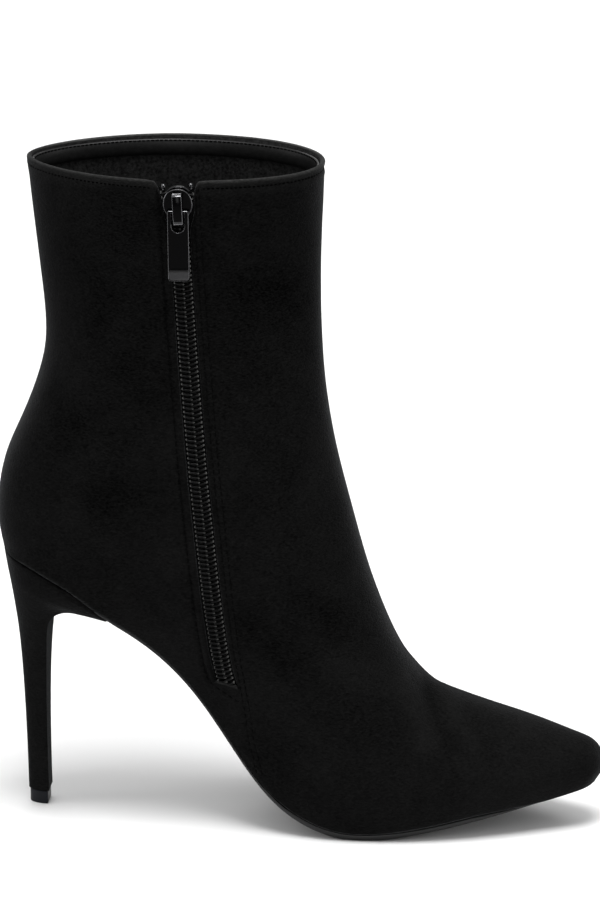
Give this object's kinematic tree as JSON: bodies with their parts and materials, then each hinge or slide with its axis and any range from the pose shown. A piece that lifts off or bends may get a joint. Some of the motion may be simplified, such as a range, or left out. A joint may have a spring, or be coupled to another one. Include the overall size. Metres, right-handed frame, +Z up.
{
  "type": "heeled ankle boot",
  "caption": "Left ankle boot with a pointed toe and a slim high heel: a hollow suede upper, open at the collar, that closes with a side zip.",
  "frame": {"origin": "middle of the boot's box on the floor", "axes": "+X from the heel to the toe, +Y to the outer side of the foot, +Z up"},
  "size_m": [0.2256, 0.0744, 0.2512],
  "materials": {
    "suede": "matt napped suede",
    "sock_lining": "matt",
    "sole_rubber": "satin",
    "top_piece": "satin",
    "zip_tape": "woven",
    "zip_coil": "satin",
    "zip_metal": "gloss lacquer"
  },
  "bodies": {
    "boot": {"upper": "suede", "heel": "suede", "insole": "sock_lining", "outsole": "sole_rubber", "top_piece": "top_piece", "zip_tape_front": "zip_tape", "zip_tape_back": "zip_tape", "zip_coil_front": "zip_coil", "zip_coil_back": "zip_coil", "zip_stop_front": "zip_metal", "zip_stop_back": "zip_metal", "zip_slider": "zip_metal"},
    "pull_tab": {"zip_pull": "zip_metal"}
  },
  "joints": [
    {"name": "pull_hinge", "type": "hinge", "parent": "boot", "child": "pull_tab", "pos_m": [-0.04166, -0.03493, 0.24015], "axis": [-0.9981, -0.0366, -0.049], "range_deg": [0, 165]}
  ]
}
